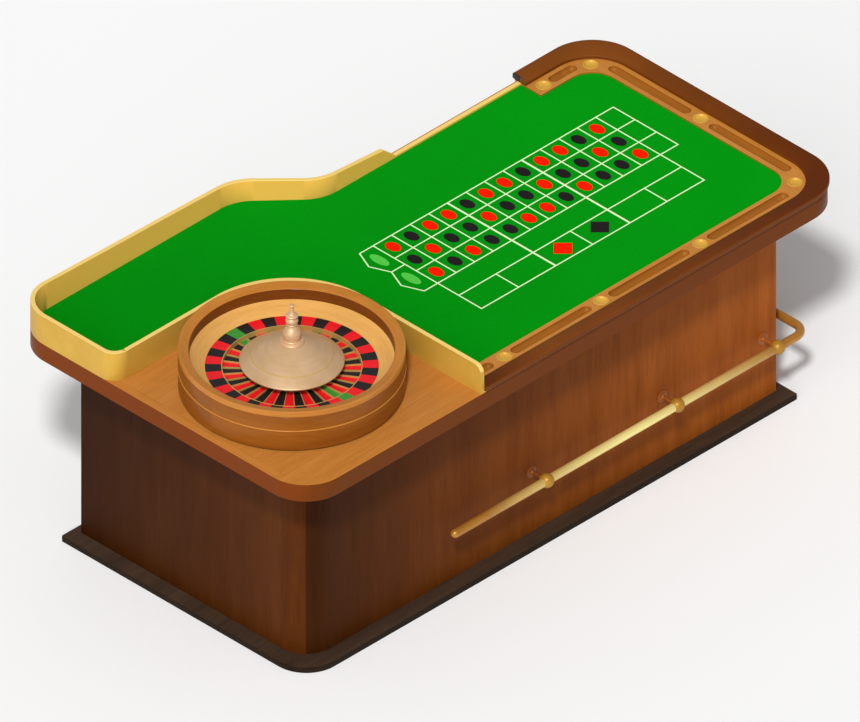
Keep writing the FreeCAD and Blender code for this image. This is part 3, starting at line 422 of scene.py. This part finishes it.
# Painted shade for the bowl's inner wall.
INNER_WALL_SHADE = wood("inner_wall_shade_wood", "#70390f", "#7f4617", roughness=0.4, coat=0.05, gloss=0.08,
                  round_wheel=True)
TRACK = wood("track_wood", "#dba152", "#e6af60", roughness=0.32, coat=0.1, round_wheel=True)
TRIM = wood("bowl_trim", "#b0702c", "#bf7c34", roughness=0.36, coat=0.05, round_wheel=True)
RED = lacquer("pocket_red", "#ed1c24")
BLACK = lacquer("pocket_black", "#231f20")
GREEN = lacquer("pocket_green", "#3d9334")
FRET = metal("fret_brass", "#c9a45a", "#b8954e", 0.4, metallic=0.1)
CONE = cone_metal("cone_bronze", "#d4b088", "#c7a276")
TURRET = cone_metal("turret_bronze", "#deb68c", "#cda47a")

CAD_FINISH = {
    PLINTH: ["plinth_board"],
    CABINET: ["player_side_panel", "wheel_end_panel", "corner_panel", "far_end_panel",
              "rear_panel_wheel_end", "rear_return_panel", "rear_panel_layout_end",
              "access_door"],
    BOARD: ["inner_bulkhead", "top_board", "playing_board", "armrest_base_boards",
            "bowl_base_board", "rotor_plate", "rotor_ring"],
    APRON: ["apron_player_side", "apron_dealer_side"],
    APRON_ENDS: ["apron_far_end", "apron_wheel_end"],
    DECK_WOOD: ["wheel_deck_board"],
    RAIL_WOOD: ["chip_rail_player_side", "chip_rail_dealer_side"],
    RAIL_WOOD_END: ["chip_rail_far_end"],
    FENCE: ["fence_wheel_end", "fence_deck_side", "fence_deck_corner", "fence_dealer_side",
            "fence_dealer_bend", "fence_low_rail"],
    RAIL_BRASS: ["foot_rail_tube", "foot_rail_end_caps"],
    BRACKET: ["foot_rail_brackets", "foot_rail_screws"],
    STEEL: ["cabinet_screws", "spindle", "spindle_bearings", "bowl_feet", "door_catch"],
    DOOR_BRASS: ["door_hinge_leaves", "door_hinge_straps", "door_hinge_pins", "door_knob"],
    RED: ["number_ring_red"],
    BLACK: ["number_ring_black"],
    GREEN: ["number_ring_green"],
    FRET: ["pocket_frets"],
}
# Nodes whose edges are eased, with the width of the bevel in millimetres.
EASED = {
    1.5: ["plinth_board", "player_side_panel", "wheel_end_panel", "far_end_panel", "access_door",
          "rear_panel_wheel_end", "rear_return_panel", "rear_panel_layout_end"],
    1.0: ["apron_player_side", "apron_dealer_side", "apron_far_end", "apron_wheel_end",
          "fence_wheel_end"],
    2.2: ["fence_deck_side", "fence_deck_corner", "fence_dealer_side", "fence_dealer_bend",
          "fence_low_rail"],
    0.8: ["chip_rail_player_side", "chip_rail_dealer_side", "chip_rail_far_end"],
}


def finish_cad_nodes():
    for material, names in CAD_FINISH.items():
        for name in names:
            for slot in NODES[name].material_slots:
                slot.material = material
    for width, names in EASED.items():
        for name in names:
            node = NODES[name]
            weld = node.modifiers.new("Weld", "WELD")
            weld.merge_threshold = 0.01 * MM
            bevel = node.modifiers.new("Eased", "BEVEL")
            bevel.width = width * MM
            bevel.segments = 3
            bevel.limit_method = "ANGLE"
            bevel.angle_limit = math.radians(40)
            bevel.harden_normals = True


# Mesh helpers ------------------------------------------------------------------------------------

def piece(name, points, faces, material, slot, body=TABLE, sharp=35.0):
    """A new piece from points in millimetres."""
    mesh = bpy.data.meshes.new(name)
    mesh.from_pydata([Vector(p) * MM for p in points], [], faces)
    build = bmesh.new()
    build.from_mesh(mesh)
    bmesh.ops.remove_doubles(build, verts=build.verts, dist=0.001 * MM)
    bmesh.ops.recalc_face_normals(build, faces=build.faces)
    build.to_mesh(mesh)
    build.free()
    mesh.shade_smooth()
    mesh.set_sharp_from_angle(angle=math.radians(sharp))
    obj = bpy.data.objects.new(name, mesh)
    bpy.context.scene.collection.objects.link(obj)
    obj.data.materials.append(material)
    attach(obj, body)
    return obj


def softened(profile, radius, steps=5, closed=True):
    """A polyline with every corner rounded. A point may give its own radius as a third value."""
    out = []
    count = len(profile)
    for i, point in enumerate(profile):
        here = Vector(point[:2])
        size = point[2] if len(point) > 2 else radius
        if size == 0 or (not closed and i in (0, count - 1)):
            out.append(here)
            continue
        before = Vector(profile[i - 1][:2]) - here
        after = Vector(profile[(i + 1) % count][:2]) - here
        reach = min(size, before.length * 0.45, after.length * 0.45)
        start, end = here + before.normalized() * reach, here + after.normalized() * reach
        for k in range(steps + 1):
            t = k / steps
            out.append(start * (1 - t) ** 2 + here * 2 * t * (1 - t) + end * t ** 2)
    return out


def turned(name, profile, material, slot, body, segments=AROUND, sharp=35.0):
    """A solid turned round the wheel's axis from a closed profile of (radius, height above the
    deck)."""
    count = len(profile)
    points, faces = [], []
    for s in range(segments):
        angle = 2 * math.pi * s / segments
        for radius, height in profile:
            points.append((WHEEL_X + radius * math.cos(angle),
                           WHEEL_Y + radius * math.sin(angle), DECK + height))
    for s in range(segments):
        following = (s + 1) % segments
        for i in range(count):
            j = (i + 1) % count
            a, b = s * count + i, s * count + j
            c, d = following * count + j, following * count + i
            on_axis = [profile[k][0] < 1e-6 for k in (i, j)]
            if all(on_axis):
                continue
            if on_axis[0]:
                faces.append((a, b, c))
            elif on_axis[1]:
                faces.append((a, b, d))
            else:
                faces.append((a, b, c, d))
    return piece(name, points, faces, material, slot, body, sharp)


def through(points, steps=6):
    """A smooth curve through the points, in the Catmull-Rom manner."""
    out = []
    points = [Vector(p) for p in points]
    for i in range(len(points) - 1):
        a = points[max(i - 1, 0)]
        b, c = points[i], points[i + 1]
        d = points[min(i + 2, len(points) - 1)]
        for k in range(steps):
            t = k / steps
            out.append(0.5 * ((2 * b) + (c - a) * t + (2 * a - 5 * b + 4 * c - d) * t * t
                              + (3 * b - a - 3 * c + d) * t ** 3))
    out.append(points[-1])
    return out


def rounded_path(corners, step=12.0):
    """Points along a route of straight runs joined by arcs: each corner is (x, y, radius)."""
    route = []
    count = len(corners)
    for i, corner in enumerate(corners):
        here = Vector(corner[:2])
        if i in (0, count - 1):
            route.append([here])
            continue
        into = (here - Vector(corners[i - 1][:2])).normalized()
        away = (Vector(corners[i + 1][:2]) - here).normalized()
        turn = math.atan2(into.cross(away), into.dot(away))
        radius = corner[2]
        reach = radius * math.tan(abs(turn) / 2)
        start = here - into * reach
        side = 1 if turn > 0 else -1
        centre = start + Vector((-into.y, into.x)) * radius * side
        arc = []
        pieces = max(2, round(abs(turn) * radius / step))
        for k in range(pieces + 1):
            angle = turn * k / pieces
            arm = start - centre
            arc.append(centre + Vector((arm.x * math.cos(angle) - arm.y * math.sin(angle),
                                        arm.x * math.sin(angle) + arm.y * math.cos(angle))))
        route.append(arc)
    return route


# Wheel -------------------------------------------------------------------------------------------

def make_bowl():
    inner = BOWL_RADIUS - 38
    shell = softened([(inner, 5), (BOWL_RADIUS - 3, 5), (BOWL_RADIUS, 9), (BOWL_RADIUS, 86.5),
                      (BOWL_RADIUS - 1.2, 88), (BOWL_RADIUS - 1.2, 92), (BOWL_RADIUS, 93.5),
                      (BOWL_RADIUS, 148.6), (BOWL_RADIUS - 1.4, 150), (inner, 150)], 1.2)
    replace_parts(turned("bowl_shell_turned", shell, BOWL, "bowl_wood", TABLE), "bowl_shell")

    rim = softened([(inner, 150), (BOWL_RADIUS - 1.4, 150), (BOWL_RADIUS, 151.4),
                    (BOWL_RADIUS, 175, 3.5), (inner, 165, 2.5)], 1.2)
    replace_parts(turned("bowl_rim_turned", rim, RIM, "rim_wood", TABLE), "bowl_rim")

    # A thin dark lining covers the rim's and the shell's inner wall above the track: painted shade
    # on the bowl's inner wall.
    lining = [(inner + 0.4, 121), (inner - 0.5, 120.4), (inner - 0.5, 162.5), (inner + 0.4, 163.5)]
    turned("bowl_inner_wall_shade", lining, INNER_WALL_SHADE, "bowl_wood", TABLE)

    track = through([(inner, 119.6), (352, 110.5), (334, 101), (320, 94.2), (310, 89.2)], 5)
    track = [(310, 20), (inner, 20)] + [tuple(p) for p in track]
    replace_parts(turned("ball_track_turned", track, TRACK, "track_wood", TABLE), "ball_track")

    bead = [(BOWL_RADIUS - 0.6, 87)]
    for k in range(9):
        angle = math.radians(-90 + 22.5 * k)
        bead.append((BOWL_RADIUS + 0.2 + 2.8 * math.cos(angle), 90 + 2.9 * math.sin(angle)))
    bead.append((BOWL_RADIUS - 0.6, 93))
    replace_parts(turned("bowl_bead_turned", bead, TRIM, "bowl_trim", TABLE), "bowl_bead")


def make_cone():
    skin = through([(188.4, 114.6), (186.5, 117.6), (170, 129.5), (148, 143.6), (118, 161),
                    (82, 178.5), (58, 189.5), (46, 194.6)], 5)
    outline = [(20, 67), (131.8, 67), (131.8, 86.5), (150, 95), (186, 111.4), (188.4, 112.6)]
    outline += [tuple(p) for p in skin]
    outline += [(20, 194.6)]
    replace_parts(turned("cone_spun", outline, CONE, "cone_bronze", ROTOR), "rotor_cone")
    line = [(146.6, 143.6), (147.2, 145.1), (148.8, 144.3), (149.6, 142.4)]
    turned("cone_gold_line", line, FRET, "fret_brass", ROTOR)


def make_turret():
    foot = 195.0
    collar = softened([(0, foot - 32), (16, foot - 32, 0), (16, foot - 0.4), (46, foot - 0.4),
                       (46, foot + 4.5), (43, foot + 7), (44, foot + 9), (42, foot + 11.5),
                       (32, foot + 12), (30, foot + 15)], 1.6, closed=False)
    body = through([(30.5, foot + 15.5), (33.2, foot + 24), (34.5, foot + 34), (33, foot + 46),
                    (27, foot + 58), (20.5, foot + 67), (18, foot + 74)], 6)
    neck = softened([(18, foot + 74), (20.5, foot + 76), (20.5, foot + 79), (18.4, foot + 81),
                     (19, foot + 83)], 0.8, closed=False)
    bulb = through([(19, foot + 83), (22.4, foot + 89), (23.2, foot + 95), (20.5, foot + 102),
                    (16.5, foot + 107)], 6)
    disc = softened([(16.5, foot + 107), (21, foot + 109), (23.6, foot + 112), (23.6, foot + 115.5),
                     (21, foot + 118), (13, foot + 121), (10, foot + 126), (8, foot + 134),
                     (7, foot + 141), (6.2, foot + 148), (0, foot + 150)], 1.6, closed=False)
    outline = [tuple(p) for p in collar + body[1:] + neck[1:] + bulb[1:] + disc[1:]]
    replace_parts(turned("turret_turned", outline, TURRET, "turret_bronze", ROTOR, segments=96),
                "turret_stem")
    knob = through([(0, 346), (6, 346.4), (9.4, 349), (10.4, 351.5), (9, 354.4), (5, 356.4),
                    (0, 357)], 6)
    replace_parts(turned("finial_turned", [tuple(p) for p in knob], TURRET, "turret_bronze", ROTOR,
                       segments=64, sharp=60), "turret_finial")


# Cups and felt -----------------------------------------------------------------------------------

CUP_CENTRES = [(-268, -636), (220, -634), (719, -636), (1227, -606), (1268, -90), (1226, 423),
               (1016, 451)]


def make_cups():
    outline = softened([(0, -8), (24, -8, 1), (25, -7), (25, 0, 0.4), (29, 0, 0.4),
                        (29, 0.9, 0.6), (26.5, 1.7, 1.2), (23.8, 1.2, 1.2), (21.5, -4.2, 4),
                        (12, -6.6, 4), (0, -7)], 1.0, closed=False)
    points, faces = [], []
    count = len(outline)
    segments = 64
    for x, y in CUP_CENTRES:
        first = len(points)
        for s in range(segments):
            angle = 2 * math.pi * s / segments
            for radius, height in outline:
                points.append((x + radius * math.cos(angle), y + radius * math.sin(angle),
                               DECK + RAIL_RISE + height))
        for s in range(segments):
            following = (s + 1) % segments
            for i in range(count - 1):
                a, b = first + s * count + i, first + s * count + i + 1
                c, d = first + following * count + i + 1, first + following * count + i
                if outline[i][0] < 1e-6:
                    faces.append((a, b, c))
                elif outline[i + 1][0] < 1e-6:
                    faces.append((a, b, d))
                else:
                    faces.append((a, b, c, d))
    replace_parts(piece("cups_drawn", points, faces, CUP, "cup_brass"), "rail_cups")


def plate(name, outline, bottom, top, material, slot):
    """A flat piece with the given outline."""
    count = len(outline)
    points = [(x, y, bottom) for x, y in outline] + [(x, y, top) for x, y in outline]
    faces = [tuple(range(count - 1, -1, -1)), tuple(range(count, 2 * count))]
    faces += [(i, (i + 1) % count, count + (i + 1) % count, count + i) for i in range(count)]
    return piece(name, points, faces, material, slot)


def closed_outline(corners, step=8.0):
    """An outline whose corners may carry a radius."""
    out = []
    count = len(corners)
    for i, corner in enumerate(corners):
        if len(corner) == 2:
            out.append(Vector(corner))
            continue
        trio = [corners[i - 1][:2], corner, corners[(i + 1) % count][:2]]
        out += rounded_path(trio, step)[1]
    return out


def make_felt():
    corners = [(-469.2, -597.5), (1225.5, -597.5, 99.5), (1225.5, 413.1, 99.5), (965.5, 413.1),
               (965.5, 513.9), (-31.7, 513.9, 179), (-266, 731, 179), (-1352.5, 731, 144.5),
               (-1352.5, 246, 47.5), (-469.2, 246, 371.5)]
    outline = closed_outline(corners)
    cloth = plate("felt_stretched", outline, DECK + 0.05, FELT_TOP, FELT, "felt")
    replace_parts(cloth, "felt_cloth")
    return cloth


# Printed layout ----------------------------------------------------------------------------------

GRID_X0, GRID_STEP = -110.3, 93.58
ROWS = [184.7, 76.0, -32.8, -141.5, -248.0, -362.9]
COLUMN_X = 1101.6
INK_LOW, INK_TOP = FELT_TOP - 0.2, FELT_TOP + 0.12


def cell_union(rectangles):
    """The outline-free union of rectangles, as a grid of shared cells."""
    xs = sorted({v for r in rectangles for v in (r[0], r[2])})
    ys = sorted({v for r in rectangles for v in (r[1], r[3])})
    kept = []
    for i in range(len(xs) - 1):
        for j in range(len(ys) - 1):
            x, y = (xs[i] + xs[i + 1]) / 2, (ys[j] + ys[j + 1]) / 2
            if any(r[0] < x < r[2] and r[1] < y < r[3] for r in rectangles):
                kept.append((xs[i], ys[j], xs[i + 1], ys[j + 1]))
    return kept


def raised(flats):
    """Points and faces of thin closed prints, from flat polygons that share their sides."""
    build = bmesh.new()
    for polygon in flats:
        build.faces.new([build.verts.new((x, y, INK_TOP)) for x, y in polygon])
    bmesh.ops.remove_doubles(build, verts=build.verts, dist=0.01)
    flat_faces = list(build.faces)
    for face in flat_faces:
        face.normal_update()
        if face.normal.z < 0:
            face.normal_flip()
    made = bmesh.ops.extrude_face_region(build, geom=flat_faces, use_keep_orig=True)
    for vert in (v for v in made["geom"] if isinstance(v, bmesh.types.BMVert)):
        vert.co.z = INK_LOW
    build.verts.index_update()
    points = [tuple(v.co) for v in build.verts]
    faces = [tuple(v.index for v in f.verts) for f in build.faces]
    build.free()
    return points, faces


def ellipse(x, y, half_x, half_y, count=48):
    return [(x + half_x * math.cos(2 * math.pi * k / count),
             y + half_y * math.sin(2 * math.pi * k / count)) for k in range(count)]


def ribbon(route, width):
    """Quads along a bent line, mitred at its corners."""
    half = width / 2
    route = [Vector(p) for p in route]
    sides = []
    for i, point in enumerate(route):
        into = (point - route[i - 1]).normalized() if i else None
        away = (route[i + 1] - point).normalized() if i < len(route) - 1 else None
        one, two = into or away, away or into
        normal = Vector((-(one + two).y, (one + two).x)).normalized()
        reach = half / max(normal.dot(Vector((-one.y, one.x))), 0.2)
        sides.append((point + normal * reach, point - normal * reach))
    return [[tuple(sides[i][0]), tuple(sides[i][1]), tuple(sides[i + 1][1]),
             tuple(sides[i + 1][0])] for i in range(len(route) - 1)]


def make_layout():
    thin, thick = 5.0, 8.0
    half = thin / 2
    rectangles = []

    def line_x(x0, x1, y):
        rectangles.append((x0 - half, y - half, x1 + half, y + half))

    def line_y(x, y0, y1, width=thin):
        rectangles.append((x - width / 2, y0 - half, x + width / 2, y1 + half))

    right = GRID_X0 + 12 * GRID_STEP
    for row in ROWS[:4]:
        line_x(GRID_X0, COLUMN_X, row)
    for row in ROWS[4:]:
        line_x(GRID_X0, right, row)
    for column in range(13):
        x = GRID_X0 + column * GRID_STEP
        if column % 4 == 0:
            line_y(x, ROWS[5], ROWS[0], thick if 0 < column < 12 else thin)
        else:
            line_y(x, ROWS[3], ROWS[0])
            if column % 2 == 0:
                line_y(x, ROWS[5], ROWS[4])
    line_y(COLUMN_X, ROWS[3], ROWS[0])
    flats = [[(a, b), (c, b), (c, d), (a, d)] for a, b, c, d in cell_union(rectangles)]

    # The two zero boxes are five-sided and share the line between them.
    edge, shoulder, tip = GRID_X0 - half, -178.0, -212.0
    split = 23.6
    flats += ribbon([(edge, ROWS[0]), (shoulder, ROWS[0]), (tip, (ROWS[0] + split) / 2),
                     (shoulder, split), (edge, split)], thin)
    flats += ribbon([(shoulder - 1, split - half), (tip, (ROWS[3] + split) / 2),
                     (shoulder, ROWS[3]), (edge, ROWS[3])], thin)
    made = [piece("layout_lines", *raised(flats), INK_PALE, "felt")]

    # Colours of the numbers, from the dealer's row to the players' row.
    rows = ["RBRRBRRBRRBR", "BRBBRBBRBBRB", "RBRBBRRBRBBR"]
    spots = {"R": [], "B": []}
    for index, row in enumerate(rows):
        y = (ROWS[index] + ROWS[index + 1]) / 2
        for column, colour in enumerate(row):
            spots[colour].append(ellipse(GRID_X0 + (column + 0.5) * GRID_STEP, y, 23.5, 33.5))
    for colour, x in (("R", 358), ("B", 544)):
        y, reach = -305.0, 47.0
        spots[colour].append([(x - reach, y), (x, y - reach), (x + reach, y), (x, y + reach)])
    made.append(piece("layout_red", *raised(spots["R"]), INK_RED, "felt"))
    made.append(piece("layout_black", *raised(spots["B"]), INK_BLACK, "felt"))
    zeros = [ellipse(-155.6, 106.5, 20, 46), ellipse(-155.6, -53.5, 20, 46)]
    made.append(piece("layout_green", *raised(zeros), INK_GREEN, "felt"))
    return made


# Armrest -----------------------------------------------------------------------------------------

REST_START_X, REST_END_X = -469.2, 972.0
REST_END_Y, REST_WIDTH = 491.5, 67.0
REST_INNER = [(REST_START_X, -681.5), (1303, -681.5, 166), (1303, REST_END_Y, 166),
              (REST_END_X, REST_END_Y)]
REST_OUTER = [(REST_START_X, -748.5), (1370, -748.5, 188),
              (1370, REST_END_Y + REST_WIDTH, 188), (REST_END_X, REST_END_Y + REST_WIDTH)]
# The pad's section: share of the way from its inner to its outer edge, and height above the deck.
REST_SECTION = [(0.0, 8.0), (0.0, 17.5), (0.008, 19.6), (0.03, 21.4), (0.055, 22.1), (0.075, 22.0),
                (0.095, 22.9), (0.15, 24.6), (0.25, 26.9), (0.37, 29.0), (0.5, 30.8),
                (0.63, 32.1), (0.76, 33.0), (0.86, 33.4), (0.9, 33.3), (0.925, 32.7),
                (0.94, 32.9), (0.965, 32.6), (0.985, 31.2), (0.997, 28.6), (1.0, 25.0),
                (1.0, 17.0), (0.996, 14.0), (0.98, 12.2), (0.95, 11.6), (0.84, 11.4),
                (0.83, 8.0)]


def paired_routes(inner, outer, straight_step=14.0, arc_pieces=26):
    """Matching points along the armrest's inner and outer edges."""
    pairs = []
    runs_in, runs_out = rounded_path(inner), rounded_path(outer)

    def at(arc, t):
        """The point at share t of the way along an arc."""
        position = t * (len(arc) - 1)
        i = min(int(position), len(arc) - 2)
        return arc[i].lerp(arc[i + 1], position - i)

    for i in range(len(runs_in) - 1):
        start_in, start_out = runs_in[i][-1], runs_out[i][-1]
        end_in, end_out = runs_in[i + 1][0], runs_out[i + 1][0]
        pieces = max(2, round((end_in - start_in).length / straight_step))
        for k in range(pieces):
            t = k / pieces
            pairs.append((start_in.lerp(end_in, t), start_out.lerp(end_out, t)))
        if i + 1 < len(runs_in) - 1:
            for k in range(arc_pieces):
                t = k / arc_pieces
                pairs.append((at(runs_in[i + 1], t), at(runs_out[i + 1], t)))
    pairs.append((runs_in[-1][-1], runs_out[-1][-1]))
    return pairs


def make_armrest():
    pairs = paired_routes(REST_INNER, REST_OUTER)
    count = len(REST_SECTION)
    points, faces = [], []
    for inner, outer in pairs:
        for share, height in REST_SECTION:
            spot = inner.lerp(outer, share)
            lumps = noise.noise(Vector((spot.x, spot.y, height)) / 55.0)
            fine = noise.noise(Vector((spot.x, spot.y, height * 3)) / 17.0)
            crown = math.sin(math.pi * min(max((share - 0.05) / 0.88, 0), 1))
            points.append((spot.x, spot.y, DECK + height + crown * (0.5 * lumps + 0.25 * fine)))
    for s in range(len(pairs) - 1):
        for i in range(count):
            j = (i + 1) % count
            faces.append((s * count + i, s * count + j, (s + 1) * count + j, (s + 1) * count + i))
    faces.append(tuple(range(count)))
    faces.append(tuple(range(len(pairs) * count - count, len(pairs) * count)))
    pad = piece("armrest_pad", points, faces, LEATHER, "armrest_leather", sharp=50)
    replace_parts(pad, "armrest_player_side", "armrest_far_end", "armrest_dealer_side")

    # The end cap follows the pad's section, a little proud of it.
    cap_points, cap_faces = [], []
    section = [Vector((REST_END_Y + REST_WIDTH * share, DECK + height))
               for share, height in REST_SECTION]
    middle = sum(section, Vector((0, 0))) / count
    rings = [(0.0, 0.985), (1.0, 1.01), (4.4, 1.01), (5.8, 0.97), (6.0, 0.9)]
    for proud, grow in rings:
        for y, z in (middle + (p - middle) * grow for p in section):
            cap_points.append((REST_END_X - proud, y, z))
    for r in range(len(rings) - 1):
        for i in range(count):
            j = (i + 1) % count
            cap_faces.append((r * count + i, r * count + j, (r + 1) * count + j,
                              (r + 1) * count + i))
    cap_faces.append(tuple(range(count)))
    cap_faces.append(tuple(range(len(cap_points) - count, len(cap_points))))
    cap = piece("armrest_cap", cap_points, cap_faces, END_CAP, "end_cap_black", sharp=50)
    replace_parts(cap, "armrest_end_cap")


# Stage -------------------------------------------------------------------------------------------

def make_stage():
    reach = 30.0
    mesh = bpy.data.meshes.new("floor")
    mesh.from_pydata([(-reach, -reach, 0), (reach, -reach, 0), (reach, reach, 0),
                      (-reach, reach, 0)], [], [(0, 1, 2, 3)])
    floor = bpy.data.objects.new("floor", mesh)
    bpy.context.scene.collection.objects.link(floor)
    paint = Paint("studio_floor")
    cloud = paint.noise(paint.place, 0.6, 2.0)
    paint.set(base_color=paint.shade(rgb("#f7f7f7"), paint.remap(cloud, 0.3, 0.7, 0.995, 1.0)),
              roughness=0.9, specular_ior_level=0.0)
    mesh.materials.append(paint.material)


# Name, strength, softness in degrees and direction of each studio light.
SUNS = [("key", 2.2, 6, (1.1, 0.9, -1.67)), ("fill", 1.0, 45, (1.3, 0.55, -0.75))]


def make_lights():
    world = bpy.data.worlds.new("studio")
    bpy.context.scene.world = world
    world.use_nodes = True
    background = world.node_tree.nodes["Background"]
    background.inputs["Color"].default_value = (1.0, 1.0, 1.0, 1.0)
    background.inputs["Strength"].default_value = 0.34

    for name, energy, softness, towards in SUNS:
        sun = bpy.data.lights.new(name, "SUN")
        sun.energy = energy
        sun.angle = math.radians(softness)
        sun_object = bpy.data.objects.new(name, sun)
        sun_object.rotation_euler = Vector(towards).to_track_quat("-Z", "Y").to_euler()
        bpy.context.scene.collection.objects.link(sun_object)


def make_camera():
    """Looks along the diagonal of a cube, with no perspective."""
    forward = Vector((1, 1, -1)) / math.sqrt(3)
    right = Vector((1, -1, 0)) / math.sqrt(2)
    up = Vector((1, 1, 2)) / math.sqrt(6)
    corner = Vector((-1.3701, -0.7358, 0.9282))
    centre = corner + right * 0.4432 + up * 0.4810
    camera = bpy.data.cameras.new("camera")
    camera.type = "ORTHO"
    camera.ortho_scale = 3.0666
    camera.clip_end = 100
    obj = bpy.data.objects.new("camera", camera)
    obj.location = centre - forward * 8
    obj.rotation_euler = forward.to_track_quat("-Z", "Y").to_euler()
    bpy.context.scene.collection.objects.link(obj)
    bpy.context.scene.camera = obj
    bpy.context.scene.view_settings.view_transform = "Standard"


make_camera()
make_lights()
make_stage()
finish_cad_nodes()
make_bowl()
make_cone()
make_turret()
make_cups()
cloth = make_felt()
prints = make_layout()
make_armrest()
